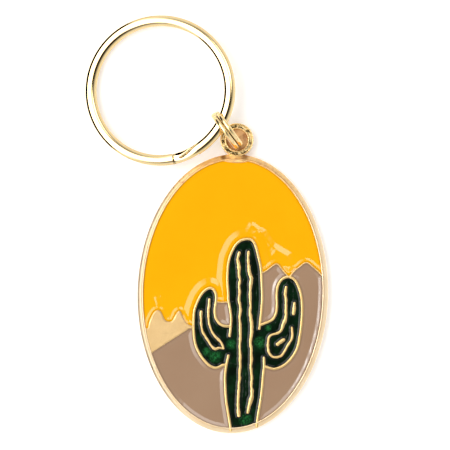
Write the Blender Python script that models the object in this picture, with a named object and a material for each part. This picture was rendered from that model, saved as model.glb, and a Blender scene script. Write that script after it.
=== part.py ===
"""Souvenir keychain: an oval struck medallion with enamel cells, its eye and two split rings.

The medallion lies on its back on z = 0 with +Z out of its face and +Y toward the eye.
The small connector ring stands on edge through the eye and the key ring leans on it.
"""
import math

import bmesh
import bpy
from mathutils import Matrix, Vector

MM = 0.001

# Medallion plate (mm)
PLATE_A, PLATE_B = 15.85, 23.2        # outer half-width and half-height of the oval
FIELD_A, FIELD_B = 14.85, 22.3        # oval pocket inside the rim
BACK_BEVEL = 0.25
EDGE_TOP_Z = 1.7                      # upright edge ends here and the rim slopes inward
FLOOR_Z = 1.5                         # pocket floor
LINE_TOP_Z = 2.38                     # raised lines
PLATEAU_TOP_Z = 2.34                  # bare metal hill
RIM_TOP_Z = 2.4
OVAL_STEPS = 84

# Enamel (mm)
ENAMEL_GAP = 0.05
ENAMEL_TOP_Z = 2.2
OUTLINE_W = 0.38                      # cactus outline
SEAM_W = 0.22                         # thin line between two colours

# Eye ring (mm)
EYE_X, EYE_Y = 0.1, 25.6
EYE_R, EYE_HOLE_R = 2.8, 1.8
EYE_Z0, EYE_Z1 = 1.0, 2.1
EYE_GROOVE = 0.13

# Connector ring, a small double-wound split ring standing on edge (mm, degrees)
LINK_X, LINK_Y = -1.59, 27.14
LINK_HEADING = -52.0                  # direction of its plane from +X
LINK_R = 3.62
LINK_WIRE = 0.66                      # radial
LINK_COIL = 0.76                      # axial thickness of one coil
LINK_JOG_AT, LINK_JOG = 150.0, 40.0   # start of the crossover and its sweep
LINK_PIVOT = 0.05                     # eye band inside the ring, along the heading from the ring's centre

# Key ring, 25 mm double-wound split ring (mm, degrees)
RING_X, RING_Y = -12.81, 33.48
RING_R = 12.5
RING_WIRE = 1.75
RING_COIL = 0.8
RING_LEAN_HEADING = -23.5             # toward the connector
RING_LEAN = 7.1
RING_JOG_AT, RING_JOG = -78.0, 21.0
COIL_GAP = 0.05

# Centre lines of the raised art in mm, x right and y up
TRUNK_UPPER = [(-0.37, -7.05), (-0.27, -6.0), (-0.2, -5.0), (-0.2, -4.0), (-0.33, -3.0), (-0.52, -2.0),
               (-0.72, -1.0), (-0.77, 0.0), (-0.86, 1.0), (-0.95, 2.0), (-0.98, 3.0), (-0.95, 4.0),
               (-0.87, 5.0), (-0.68, 6.0), (-0.3, 7.0), (0.2, 8.0), (0.85, 8.68), (1.5, 9.03), (2.3, 9.15),
               (2.95, 8.98), (3.4, 8.45), (3.75, 7.6), (4.02, 6.6), (4.25, 5.7), (4.5, 4.7), (4.65, 3.6),
               (4.72, 2.5), (4.8, 1.4), (4.87, 0.3), (4.9, -0.9), (4.85, -2.0), (4.8, -3.0), (4.7, -4.0),
               (4.62, -4.9), (4.55, -5.7)]
TRUNK_LEFT = [(-0.5, -10.3), (-0.66, -11.1), (-0.8, -11.9), (-0.93, -12.9), (-0.98, -14.0), (-0.92, -15.2),
              (-0.82, -16.6), (-0.67, -18.0), (-0.48, -19.0), (-0.3, -20.0), (-0.1, -21.0), (0.08, -22.0),
              (0.16, -22.7)]
TRUNK_RIGHT = [(5.42, -10.55), (5.46, -11.3), (5.48, -12.0), (5.38, -13.0), (5.3, -14.0), (5.26, -15.0),
               (5.18, -16.0), (5.1, -17.0), (4.96, -18.0), (4.82, -19.0), (4.67, -20.0), (4.55, -21.0),
               (4.5, -22.0)]
LEFT_ARM = [(-0.28, -5.42), (-1.0, -5.42), (-1.65, -5.28), (-2.25, -4.88), (-2.7, -4.2), (-2.9, -3.4),
            (-2.93, -2.6), (-2.82, -1.7), (-2.74, -0.9), (-2.8, -0.2), (-3.0, 0.3), (-3.35, 0.72),
            (-3.85, 0.86), (-4.45, 0.58), (-5.05, 0.0), (-5.6, -0.9), (-6.05, -2.0), (-6.33, -3.0),
            (-6.41, -4.0), (-6.41, -5.0), (-6.38, -6.0), (-6.3, -7.0), (-6.15, -8.0), (-5.86, -9.0),
            (-5.35, -10.0), (-4.65, -11.0), (-3.75, -11.9), (-2.85, -12.35), (-2.05, -12.25),
            (-1.45, -11.92), (-0.78, -11.8)]
RIGHT_ARM = [(4.62, -5.15), (5.3, -4.82), (6.1, -4.5), (6.7, -4.1), (7.1, -3.5), (7.33, -2.6), (7.36, -1.4),
             (7.3, -0.2), (7.33, 0.8), (7.52, 1.65), (7.95, 2.4), (8.5, 2.85), (9.2, 3.0), (9.85, 2.82),
             (10.4, 2.3), (10.85, 1.5), (11.15, 0.7), (11.38, -0.2), (11.52, -1.2), (11.58, -2.4),
             (11.57, -3.6), (11.5, -4.8), (11.4, -6.0), (11.24, -7.1), (11.05, -8.2), (10.72, -9.2),
             (10.2, -10.15), (9.5, -11.05), (8.5, -11.85), (7.3, -12.32), (6.4, -12.2), (5.48, -11.9)]
SPINE_LEFT = [(0.95, 6.85), (0.78, 6.3), (0.68, 5.8), (0.85, 5.0), (0.95, 4.0), (0.95, 3.2), (1.12, 2.4),
              (1.05, 1.6), (1.02, 1.0), (1.15, 0.4), (1.1, -0.3), (1.05, -1.1), (1.25, -1.9), (1.34, -2.6),
              (1.28, -3.4), (1.2, -4.0), (1.33, -5.0), (1.38, -6.0), (1.43, -7.0), (1.37, -8.0),
              (1.36, -9.0), (1.43, -10.0), (1.48, -11.2), (1.5, -12.2), (1.43, -13.2), (1.46, -14.2),
              (1.35, -15.2), (1.34, -16.2), (1.3, -17.2), (1.28, -18.2), (1.34, -19.2), (1.46, -20.2)]
SPINE_RIGHT = [(2.45, 7.0), (2.4, 6.3), (2.45, 5.4), (2.56, 4.5), (2.66, 3.7), (2.9, 3.0), (3.02, 2.4),
               (2.95, 1.6), (2.9, 0.8), (2.9, -0.2), (2.93, -1.2), (3.0, -2.0), (2.93, -2.9), (3.08, -3.9),
               (3.24, -4.9), (3.27, -6.0), (3.2, -7.0), (3.1, -8.0), (3.26, -8.9), (3.3, -10.0),
               (3.35, -11.0), (3.28, -12.0), (3.38, -13.0), (3.48, -14.0), (3.42, -15.0), (3.57, -16.0),
               (3.55, -17.0), (3.3, -18.0), (3.08, -19.0), (2.94, -19.65)]
RIGHT_HOOK = [(8.84, 1.3), (8.76, 0.7), (8.7, 0.0), (8.86, -0.8), (8.88, -2.0), (8.9, -3.0), (8.86, -4.0),
              (8.5, -5.0), (8.15, -5.95), (7.5, -6.4), (6.75, -6.6), (6.25, -6.95), (6.07, -7.7),
              (6.05, -8.8), (6.25, -9.65), (6.75, -10.25), (7.35, -10.4), (8.05, -10.25), (8.6, -9.75),
              (8.95, -9.1), (9.4, -8.3), (9.85, -7.5), (10.07, -6.7), (10.0, -6.0), (9.94, -5.45)]
FOLD_OUTER = [(-5.2, -3.15), (-5.2, -3.7), (-5.17, -4.6), (-5.07, -5.6), (-4.83, -6.5), (-4.4, -7.2),
              (-3.95, -7.85), (-3.55, -8.5), (-3.1, -9.05), (-2.6, -9.24), (-2.1, -9.05), (-1.4, -9.12)]
FOLD_INNER = [(-3.86, -1.0), (-3.92, -2.0), (-3.98, -3.0), (-3.95, -4.2), (-3.75, -5.3), (-3.4, -6.2),
              (-2.95, -6.95), (-2.4, -7.5), (-1.85, -8.0), (-1.5, -8.6), (-1.33, -9.1)]
PEAKS_INNER = [(4.65, 3.55), (5.3, 3.82), (5.9, 4.28), (6.5, 4.8), (7.05, 5.1), (7.5, 4.95), (8.0, 4.35),
               (8.5, 3.75), (9.15, 3.05)]
PEAKS_OUTER = [(9.4, 3.0), (9.8, 3.65), (10.3, 4.15), (11.0, 4.75), (11.6, 5.25), (12.1, 5.45),
               (12.6, 5.25), (13.2, 4.75), (14.0, 4.1), (14.95, 3.2)]
GAP_SEAM = [(-2.8, -1.4), (-1.7, -1.47), (-0.65, -1.35)]
PLATEAU = [(-13.95, -6.0), (-13.8, -5.1), (-13.5, -4.3), (-13.2, -3.65), (-12.85, -3.2), (-12.35, -3.02),
           (-11.95, -3.2), (-11.6, -3.8), (-11.25, -4.5), (-10.85, -4.82), (-10.35, -4.88),
           (-9.95, -4.7), (-9.6, -4.1), (-9.3, -3.45), (-8.95, -3.08), (-8.65, -3.12), (-8.4, -3.55),
           (-8.05, -4.3), (-7.65, -4.95), (-7.1, -5.32), (-6.4, -5.5), (-6.35, -5.95), (-7.2, -6.03),
           (-13.05, -10.0), (-13.3, -10.45), (-13.75, -9.9), (-14.65, -6.5)]

# Line name: centre line, then widths at stations spread evenly along it
LINES = {
    "trunk_upper": (TRUNK_UPPER, [OUTLINE_W]),
    "trunk_left": (TRUNK_LEFT, [OUTLINE_W]),
    "trunk_right": (TRUNK_RIGHT, [OUTLINE_W]),
    "left_arm": (LEFT_ARM, [OUTLINE_W]),
    "right_arm": (RIGHT_ARM, [OUTLINE_W]),
    "spine_left": (SPINE_LEFT, [0.42, 0.56, 0.42, 0.4, 0.46, 0.4, 0.46, 0.4, 0.46, 0.4, 0.46, 0.42, 0.56]),
    "spine_right": (SPINE_RIGHT, [0.42, 0.5, 0.62, 0.46, 0.4, 0.58, 0.52, 0.44, 0.46, 0.42, 0.46, 0.62, 0.44]),
    "right_hook": (RIGHT_HOOK, [0.42, 0.48, 0.44, 0.6, 0.4, 0.38, 0.42, 0.38, 0.36, 0.38, 0.36]),
    "right_fleck_upper": ([(10.27, -1.35), (10.25, -2.2), (10.18, -3.1)], [0.46, 0.6, 0.48]),
    "right_fleck_lower": ([(7.65, -8.2), (8.15, -7.8), (8.62, -7.42)], [0.62, 0.56, 0.5]),
    "fold_outer": (FOLD_OUTER, [0.5, 0.38, 0.38, 0.36, 0.42, 0.34]),
    "fold_inner": (FOLD_INNER, [0.38, 0.4, 0.36, 0.36, 0.4, 0.34]),
    "peaks_inner": (PEAKS_INNER, [SEAM_W]),
    "peaks_outer": (PEAKS_OUTER, [SEAM_W]),
    "gap_seam": (GAP_SEAM, [SEAM_W]),
}

# Rough cell borders in mm: each runs under a raised line, or through metal or another cell
SKY_CELL = ([(-17.0, -6.25), (-14.0, -6.25), (-12.3, -4.6), (-7.2, -5.7), (-5.5, -5.0), (-3.9, -3.0), (-3.4, -1.4),
             (-2.8, -1.4), (-1.7, -1.47), (-0.65, -1.35), (0.3, -1.3), (2.0, 3.0), (3.8, 3.2)] + PEAKS_INNER
            + [(9.28, 2.5)] + PEAKS_OUTER + [(17.0, 1.4), (17.0, 25.0), (-17.0, 25.0)])
INNER_PEAK_CELL = PEAKS_INNER + [(9.1, 2.4), (8.3, 1.0), (8.1, -3.4), (6.9, -5.1), (4.2, -5.6), (3.8, 3.2)]
RIGHT_HILL_CELL = PEAKS_OUTER + [(17.0, 1.4), (17.0, -25.0), (2.5, -25.0), (2.5, -12.0), (8.0, -10.0),
                                 (10.2, -4.0), (10.0, 1.5)]
LEFT_HILL_CELL = [(-5.4, -5.9), (-7.2, -5.8), (-13.2, -9.8), (-17.0, -12.0), (-17.0, -25.0), (2.0, -25.0),
                  (2.0, -12.0), (-2.7, -11.0), (-5.0, -8.5)]
ARM_GAP_CELL = [(-3.6, -1.3), (-2.8, -1.4), (-1.7, -1.47), (-0.65, -1.35), (0.3, -1.3), (0.3, -5.9), (-3.0, -5.9)]


def width_at(widths, f):
    """Width at the fraction f of a line, blended between evenly spread stations."""
    if len(widths) == 1:
        return widths[0]
    s = f * (len(widths) - 1)
    i = min(int(s), len(widths) - 2)
    return widths[i] + (widths[i + 1] - widths[i]) * (s - i)


def ribbon(points, widths, grow=0.0):
    """Outline of a line of the given widths with round ends."""
    path = [Vector(p) for p in points]
    n = len(path)
    left, right = [], []
    for i, p in enumerate(path):
        d = (path[min(i + 1, n - 1)] - path[max(i - 1, 0)]).normalized()
        half = width_at(widths, i / (n - 1)) / 2 + grow
        side = Vector((-d.y, d.x)) * half
        left.append(p + side)
        right.append(p - side)
    caps = []
    for p, q, half in ((path[-1], path[-2], (left[-1] - right[-1]).length / 2),
                       (path[0], path[1], (left[0] - right[0]).length / 2)):
        d = (p - q).normalized()
        start = math.atan2(d.x, -d.y)
        caps.append([p + half * Vector((math.cos(start - k * math.pi / 4), math.sin(start - k * math.pi / 4)))
                     for k in (1, 2, 3)])
    return left + caps[0] + right[::-1] + caps[1]


def oval(a, b, steps=OVAL_STEPS):
    return [Vector((a * math.cos(2 * math.pi * k / steps), b * math.sin(2 * math.pi * k / steps)))
            for k in range(steps)]


def new_object(name, bm, collection, mat=None, round_shading=True):
    """Object in metres from a bmesh in mm, faces turned outward."""
    bmesh.ops.recalc_face_normals(bm, faces=bm.faces)
    bmesh.ops.scale(bm, vec=(MM, MM, MM), verts=bm.verts)
    mesh = bpy.data.meshes.new(name)
    bm.to_mesh(mesh)
    bm.free()
    obj = bpy.data.objects.new(name, mesh)
    collection.objects.link(obj)
    if mat:
        mesh.materials.append(mat)
    if round_shading:
        mesh.shade_smooth()
        mesh.set_sharp_from_angle(angle=math.radians(35))
    return obj


def prism(name, outline, z0, z1, collection, mat=None):
    """Upright solid over a flat outline."""
    bm = bmesh.new()
    low = [bm.verts.new((p[0], p[1], z0)) for p in outline]
    high = [bm.verts.new((p[0], p[1], z1)) for p in outline]
    bm.faces.new(low[::-1])
    bm.faces.new(high)
    n = len(outline)
    for i in range(n):
        j = (i + 1) % n
        bm.faces.new((low[i], low[j], high[j], high[i]))
    return new_object(name, bm, collection, mat, round_shading=False)


def loft(name, rings, collection, mat, closed):
    """Skin over rings of equal point count; a closed loft joins last to first, an open one is capped."""
    bm = bmesh.new()
    rows = [[bm.verts.new(p) for p in ring] for ring in rings]
    n = len(rows[0])
    count = len(rows)
    for r in range(count if closed else count - 1):
        a, b = rows[r], rows[(r + 1) % count]
        for i in range(n):
            j = (i + 1) % n
            bm.faces.new((a[i], a[j], b[j], b[i]))
    if not closed:
        bm.faces.new(rows[0][::-1])
        bm.faces.new(rows[-1])
    return new_object(name, bm, collection, mat)


def boolean(obj, operation, operand):
    """Boolean modifier with one cutter object or a collection of them."""
    mod = obj.modifiers.new(operation.title(), "BOOLEAN")
    mod.operation = operation
    mod.solver = "EXACT"
    if isinstance(operand, bpy.types.Collection):
        mod.operand_type = "COLLECTION"
        mod.collection = operand
    else:
        mod.object = operand


def material(name, colour, metallic, roughness, coat=0.0):
    mat = bpy.data.materials.new(name)
    mat.use_nodes = True
    bsdf = mat.node_tree.nodes["Principled BSDF"]
    bsdf.inputs["Base Color"].default_value = (*colour, 1.0)
    bsdf.inputs["Metallic"].default_value = metallic
    bsdf.inputs["Roughness"].default_value = roughness
    bsdf.inputs["Coat Weight"].default_value = coat
    return mat


def helper_collection(name, scene):
    coll = bpy.data.collections.new(name)
    scene.collection.children.link(coll)
    coll.hide_render = True
    return coll


def as_cutter(obj):
    obj.hide_render = True
    obj.display_type = "WIRE"
    return obj


def medallion_plate(coll, raised, notches):
    """Struck oval plate: flat back, sloping rim with a narrow lip, pocket floor and raised art."""
    profile = [(BACK_BEVEL, 0.0), (0.0, BACK_BEVEL), (0.0, EDGE_TOP_Z), (0.1, 1.9), (0.62, 2.2),
               (0.72, RIM_TOP_Z), (0.93, RIM_TOP_Z), (None, FLOOR_Z)]
    rings = []
    for inset, z in profile:
        a, b = (FIELD_A, FIELD_B) if inset is None else (PLATE_A - inset, PLATE_B - inset)
        rings.append([(p.x, p.y, z) for p in oval(a, b)])
    gold = material("struck gold", (0.83, 0.6, 0.28), 1.0, 0.28)
    plate = loft("medallion_plate", rings, coll, gold, closed=False)
    boolean(plate, "UNION", raised)
    boolean(plate, "DIFFERENCE", notches)
    return plate


def raised_art(scene):
    """Raised lines and the bare metal hill, standing on the pocket floor."""
    raised = helper_collection("raised art", scene)
    for name, (points, widths) in LINES.items():
        as_cutter(prism("line_" + name, ribbon(points, widths), FLOOR_Z - 0.3, LINE_TOP_Z, raised))
    as_cutter(prism("plateau", PLATEAU, FLOOR_Z - 0.3, PLATEAU_TOP_Z, raised))
    return raised


def enamel_cutters(scene):
    """Grown copies of the raised art that leave the enamel its gap."""
    grown = helper_collection("enamel cutters", scene)
    for name, (points, widths) in LINES.items():
        as_cutter(prism("grown_" + name, ribbon(points, widths, ENAMEL_GAP), 1.0, 3.0, grown))
    centre = Vector((-10.5, -6.5))
    wide = []
    for i, p in enumerate(PLATEAU):
        before, after = Vector(PLATEAU[i - 1]), Vector(PLATEAU[(i + 1) % len(PLATEAU)])
        d = (after - before).normalized()
        wide.append(Vector(p) + Vector((-d.y, d.x)) * ENAMEL_GAP)
    as_cutter(prism("grown_plateau", wide, 1.0, 3.0, grown))
    return grown


def cactus_outline():
    """Border of the whole cactus along the middle of its outline, run out over the rim at the foot."""
    def between(path, start, stop):
        pts = [Vector(p) for p in path]
        i = min(range(len(pts)), key=lambda k: (pts[k] - Vector(start)).length)
        j = min(range(len(pts)), key=lambda k: (pts[k] - Vector(stop)).length)
        return pts[i:j + 1] if i <= j else pts[j:i + 1][::-1]

    return (between(TRUNK_UPPER, (-0.2, -5.0), (4.62, -4.9)) + between(RIGHT_ARM, (4.62, -5.15), (6.4, -12.2))
            + between(TRUNK_RIGHT, (5.48, -12.0), (4.5, -22.0)) + [Vector((4.5, -24.0)), Vector((0.2, -24.0))]
            + between(TRUNK_LEFT, (0.16, -22.7), (-0.8, -11.9)) + between(LEFT_ARM, (-1.45, -11.92), (-0.28, -5.42)))


def enamel_cells(coll, scene, grown):
    """One solid for each filled pocket."""
    cutters = helper_collection("cell cutters", scene)
    field = as_cutter(prism("field", oval(FIELD_A - ENAMEL_GAP, FIELD_B - ENAMEL_GAP), 1.0, 3.0, cutters))
    cactus = as_cutter(prism("cactus", cactus_outline(), 1.0, 3.0, cutters))
    brown = material("brown enamel", (0.45, 0.28, 0.17), 0.0, 0.12, 1.0)
    cells = {
        "yellow_sky_enamel": (SKY_CELL, material("yellow enamel", (1.0, 0.48, 0.01), 0.0, 0.12, 1.0)),
        "inner_hill_enamel": (INNER_PEAK_CELL, brown),
        "right_hill_enamel": (RIGHT_HILL_CELL, brown),
        "left_hill_enamel": (LEFT_HILL_CELL, brown),
        "arm_gap_enamel": (ARM_GAP_CELL, brown),
    }
    z0 = FLOOR_Z + ENAMEL_GAP
    for name, (border, mat) in cells.items():
        obj = prism(name, border, z0, ENAMEL_TOP_Z, coll, mat)
        boolean(obj, "INTERSECT", field)
        boolean(obj, "DIFFERENCE", cactus)
        boolean(obj, "DIFFERENCE", grown)
    green = prism("cactus_enamel", cactus_outline(), z0, ENAMEL_TOP_Z, coll,
                  material("green enamel", (0.008, 0.03, 0.006), 0.0, 0.08, 1.0))
    boolean(green, "INTERSECT", field)
    boolean(green, "DIFFERENCE", grown)


def eye_ring(coll):
    """Flat eye with an inner and an outer bead and a groove between them."""
    r0, r1, z0, z1 = EYE_HOLE_R, EYE_R, EYE_Z0, EYE_Z1
    section = [(r0, z0 + 0.15), (r0, z1 - 0.17), (r0 + 0.12, z1), (r0 + 0.27, z1),
               (r0 + 0.36, z1 - EYE_GROOVE), (r1 - 0.36, z1 - EYE_GROOVE), (r1 - 0.27, z1), (r1 - 0.12, z1),
               (r1, z1 - 0.17), (r1, z0 + 0.15), (r1 - 0.15, z0), (r0 + 0.15, z0)]
    steps = 40
    rings = []
    for k in range(steps):
        c, s = math.cos(2 * math.pi * k / steps), math.sin(2 * math.pi * k / steps)
        rings.append([(EYE_X + r * c, EYE_Y + r * s, z) for r, z in section])
    return loft("eye_ring", rings, coll, material("eye gold", (0.83, 0.6, 0.28), 1.0, 0.3), closed=True)


def split_ring(name, radius, wire, coil, jog_at, jog, step, pose, coll, mat):
    """Wire wound twice round, one coil on the other, with a crossover between the two cut ends."""
    hw, ht, c = wire / 2, coil / 2, min(wire, coil) * 0.3
    section = [(-hw, -ht + c), (-hw, ht - c), (-hw + c, ht), (hw - c, ht), (hw, ht - c), (hw, -ht + c),
               (hw - c, -ht), (-hw + c, -ht)]
    start = jog_at + jog - 360.0
    total = 720.0 - jog
    count = round(total / step)
    rings = []
    rise = coil + COIL_GAP
    for k in range(count + 1):
        deg = start + total * k / count
        f = min(max((deg - jog_at) / jog, 0.0), 1.0)
        level = (f * f * (3 - 2 * f) - 0.5) * rise
        a = math.radians(deg)
        mid = radius - hw
        rings.append([pose @ Vector(((mid + r) * math.cos(a), (mid + r) * math.sin(a), z + level))
                      for r, z in section])
    return loft(name, rings, coll, mat, closed=False)


def set_origin(obj, point_mm):
    """Moves an object's origin onto its joint without moving its surface."""
    point = Vector(point_mm) * MM
    obj.data.transform(Matrix.Translation(-point))
    obj.location = point


def connector_ring(coll):
    """Small ring standing upright on its edge, its plane along the heading."""
    turn = Matrix.Rotation(math.radians(LINK_HEADING), 4, "Z") @ Matrix.Rotation(math.radians(90), 4, "X")
    pose = Matrix.Translation((LINK_X, LINK_Y, LINK_R)) @ turn
    ring = split_ring("connector_ring", LINK_R, LINK_WIRE, LINK_COIL, LINK_JOG_AT, LINK_JOG, 12.0, pose, coll,
                      material("connector gold", (0.85, 0.66, 0.36), 1.0, 0.15))
    u = Vector((math.cos(math.radians(LINK_HEADING)), math.sin(math.radians(LINK_HEADING)), 0.0))
    set_origin(ring, Vector((LINK_X, LINK_Y, (EYE_Z0 + EYE_Z1) / 2)) + LINK_PIVOT * u)
    return ring


def key_ring(coll):
    """Large ring leaning on the connector, its far side on the floor."""
    lean = math.radians(RING_LEAN)
    height = RING_R * math.sin(lean) + (RING_COIL + COIL_GAP / 2) * math.cos(lean)
    heading = math.radians(RING_LEAN_HEADING)
    axis = Vector((math.sin(heading), -math.cos(heading), 0.0))
    pose = Matrix.Translation((RING_X, RING_Y, height)) @ Matrix.Rotation(lean, 4, axis)
    ring = split_ring("split_ring", RING_R, RING_WIRE, RING_COIL, RING_JOG_AT, RING_JOG, 6.0, pose, coll,
                      material("key ring gold", (0.85, 0.66, 0.36), 1.0, 0.12))
    mid = RING_R - RING_WIRE / 2
    set_origin(ring, pose @ Vector((mid * math.cos(heading), mid * math.sin(heading), 0.0)))
    return ring


def build():
    for obj in list(bpy.data.objects):
        bpy.data.objects.remove(obj)
    scene = bpy.context.scene
    coll = bpy.data.collections.new("keychain")
    scene.collection.children.link(coll)
    raised = raised_art(scene)
    grown = enamel_cutters(scene)
    notches = helper_collection("eye seat", scene)
    seat = [Vector((EYE_X, EYE_Y)) + (EYE_R + ENAMEL_GAP) * Vector((math.cos(k * math.pi / 24), math.sin(k * math.pi / 24)))
            for k in range(48)]
    as_cutter(prism("eye seat cutter", seat, EYE_Z0 - ENAMEL_GAP, 3.0, notches))
    medallion_plate(coll, raised, notches)
    enamel_cells(coll, scene, grown)
    eye_ring(coll)
    connector_ring(coll)
    key_ring(coll)


build()
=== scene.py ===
"""Souvenir keychain seen from straight above on a white table."""
import math
from collections import namedtuple

import bmesh
import bpy
from mathutils import Matrix, Vector, kdtree, noise
from mathutils.geometry import delaunay_2d_cdt


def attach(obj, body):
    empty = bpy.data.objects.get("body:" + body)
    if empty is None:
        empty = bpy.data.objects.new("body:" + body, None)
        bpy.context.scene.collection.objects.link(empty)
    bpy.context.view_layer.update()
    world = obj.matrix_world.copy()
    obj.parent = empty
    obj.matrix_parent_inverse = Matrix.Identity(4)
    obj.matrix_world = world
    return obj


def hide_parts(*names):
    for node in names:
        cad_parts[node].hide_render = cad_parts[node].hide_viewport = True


MM = 0.001

# Medallion (mm)
PLATE_A, PLATE_B = 15.85, 23.2        # outer half-width and half-height of the oval
FIELD_A, FIELD_B = 14.87, 22.3        # oval pocket inside the rim
FLOOR_Z = 1.5                         # pocket floor
LINE_TOP_Z = 2.38                     # raised lines
OUTLINE_W, SEAM_W = 0.41, 0.2         # cactus outline, and the thin line between two colours
WANDER = 0.045                        # how far a hand-cut line strays from its centre line

# Enamel and bare hill: level far from any wall, climbs toward walls, and height of the slow waves (mm).
# A climb is (walls, rise, distance from them where its slope ends, distance where it starts).
YELLOW_SKIN = (2.17, [("cactus", 0.122, 0.5, 1.7), ("peaks", 0.055, 0.22, 0.82)], 0.006)
BROWN_SKIN = (2.2, [("all", 0.1, 0.08, 0.75)], 0.012)
GREEN_SKIN = (2.19, [("all", 0.075, 0.05, 0.32)], 0.014)
HILL_SKIN = (2.35, [("hill", -0.06, 0.02, 0.16)], 0.0)
# Low swells in the yellow: the two ends of the crest, width and height
SWELLS = [((2.7, 12.0), (4.9, 10.5), 0.8, 0.075),
          ((4.6, 10.9), (6.9, 8.0), 1.15, 0.125),
          ((6.7, 8.2), (9.7, 6.5), 1.25, 0.135),
          ((-13.0, -0.9), (-11.9, -0.6), 0.7, 0.05)]
MESH_STEP = 0.1                       # spacing of the points in a skin
# Places where the metal glows through the green (x, y, radius)
GLOWS = [(-2.7, -10.5, 1.3), (-4.1, -9.7, 0.9), (-0.1, -8.4, 0.95), (4.65, -8.0, 1.2), (2.6, -20.9, 1.3),
         (6.0, -5.5, 0.7)]

# Eye ring (mm)
EYE = Vector((0.1, 25.6))
EYE_R, EYE_HOLE_R = 2.8, 1.8
EYE_Z0, EYE_Z1 = 1.0, 2.1
GROOVE_DEPTH = 0.3
# Thin sheet of painted shade low in the eye's hole, round a slot for the connector
SHEET_ACROSS = Vector((0.788, 0.616))   # square to the connector's plane
SHEET_SLOT, SHEET_OFFSET = 0.85, -0.383   # slot's half width, and its middle's shift along SHEET_ACROSS
SHEET_END = 0.85                        # slot's blind end, from the eye's centre along the connector
SHEET_Z = (0.1, 0.3)                    # its two faces above the eye's underside
# Neck between eye and lip: outline, and layers of (inset, height)
NECK = [(-2.2, 22.02), (-1.2, 21.82), (0.0, 21.72), (1.1, 21.8), (2.0, 22.02), (1.2, 22.35), (0.5, 22.75),
        (0.3, 23.1), (-0.5, 23.1), (-0.75, 22.75), (-1.3, 22.35)]
NECK_LAYERS = ((-0.08, 1.6), (-0.02, 2.12), (0.03, 2.28), (0.1, 2.36), (0.2, 2.39), (0.3, 2.4))
# Painted shade in the crevices on both sides of the neck (x, y, radius)
NECK_SHADE_SPOTS = [(-2.1, 22.6, 0.65), (1.5, 22.85, 0.8)]

# Wound rings: outer radius, radial width of the wire, thickness of one coil (mm), and start and sweep of the
# crossover (degrees)
Winding = namedtuple("Winding", "radius wire coil jog_at jog")
LINK = Winding(3.62, 0.66, 0.76, 150.0, 40.0)
RING = Winding(12.5, 1.75, 0.8, -78.0, 21.0)
COIL_GAP = 0.05
# Connector, standing on edge: centre and direction of its plane from +X
LINK_X, LINK_Y = -1.59, 27.14
LINK_HEADING = -52.0
# Key ring: centre, lean, direction of the connector that it leans on, and its crossover's slanted crease
RING_X, RING_Y = -12.81, 33.48
RING_LEAN, RING_HEADING = 7.1, -23.5
CREASE_DEPTH, CREASE_W = 0.22, 0.13
CREASE_SPAN = (5.0, 24.0)             # degrees past the crossover's start
# Upper right quarter of its flattened wire: nearly flat on top, with slanting shoulders
KEY_WIRE = [(0.0, 1.0), (0.14, 0.994), (0.26, 0.97), (0.4, 0.925), (0.51, 0.868), (0.61, 0.8),
            (0.69, 0.723), (0.77, 0.633), (0.83, 0.543), (0.9, 0.435), (0.955, 0.345), (0.983, 0.263),
            (0.998, 0.15), (1.0, 0.0)]

# Light tent: brightness against the cosine of the angle from straight above
TENT = ((0.0, 0.68), (0.12, 0.78), (0.3, 0.95), (0.6, 0.95), (0.8, 0.7), (0.9, 0.32), (0.955, 0.14),
        (0.985, 0.03))
# Softboxes and a dark panel: heading, half width, nearest and farthest angle from straight above (degrees),
# brightness, and softness of the two side edges
SOFTBOXES = ((172.0, 52.0, 9.0, 51.0, 3.1, 0.14), (166.0, 16.0, 19.0, 27.0, 8.0, 0.04),
             (66.0, 25.0, 10.0, 22.0, 3.6, 0.03), (172.0, 50.0, 53.0, 89.9, -0.95, 0.04))
SOFT_FAR, SOFT_NEAR = 0.02, 0.003     # softness of their other two edges

# Camera straight above (m, degrees)
CAMERA_X, CAMERA_Y, CAMERA_ROLL = -0.00156, 0.01139, 1.32
CAMERA_UP, FACE_UP = 0.8, 0.002       # height over the medallion's face, and the face's over the table
VIEW_WIDTH = 0.0748                   # what the picture spans at the face
SENSOR = 36.0
TABLE_HALF = 0.6

# Centre lines of the raised art in mm, x right and y up
TRUNK_UPPER = [(-0.37, -7.05), (-0.27, -6.0), (-0.2, -5.0), (-0.2, -4.0), (-0.33, -3.0), (-0.52, -2.0),
               (-0.72, -1.0), (-0.77, 0.0), (-0.86, 1.0), (-0.95, 2.0), (-0.98, 3.0), (-0.95, 4.0),
               (-0.87, 5.0), (-0.68, 6.0), (-0.3, 7.0), (0.2, 8.0), (0.85, 8.68), (1.5, 9.03), (2.3, 9.15),
               (2.95, 8.98), (3.4, 8.45), (3.75, 7.6), (4.02, 6.6), (4.25, 5.7), (4.5, 4.7), (4.65, 3.6),
               (4.72, 2.5), (4.8, 1.4), (4.87, 0.3), (4.9, -0.9), (4.85, -2.0), (4.8, -3.0), (4.7, -4.0),
               (4.62, -4.9), (4.55, -5.7)]
TRUNK_LEFT = [(-0.5, -10.3), (-0.66, -11.1), (-0.8, -11.9), (-0.93, -12.9), (-0.98, -14.0), (-0.92, -15.2),
              (-0.82, -16.6), (-0.67, -18.0), (-0.48, -19.0), (-0.3, -20.0), (-0.1, -21.0), (0.08, -22.0),
              (0.16, -22.7)]
TRUNK_RIGHT = [(5.42, -10.55), (5.46, -11.3), (5.48, -12.0), (5.38, -13.0), (5.3, -14.0), (5.26, -15.0),
               (5.18, -16.0), (5.1, -17.0), (4.96, -18.0), (4.82, -19.0), (4.67, -20.0), (4.55, -21.0),
               (4.5, -22.0)]
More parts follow.
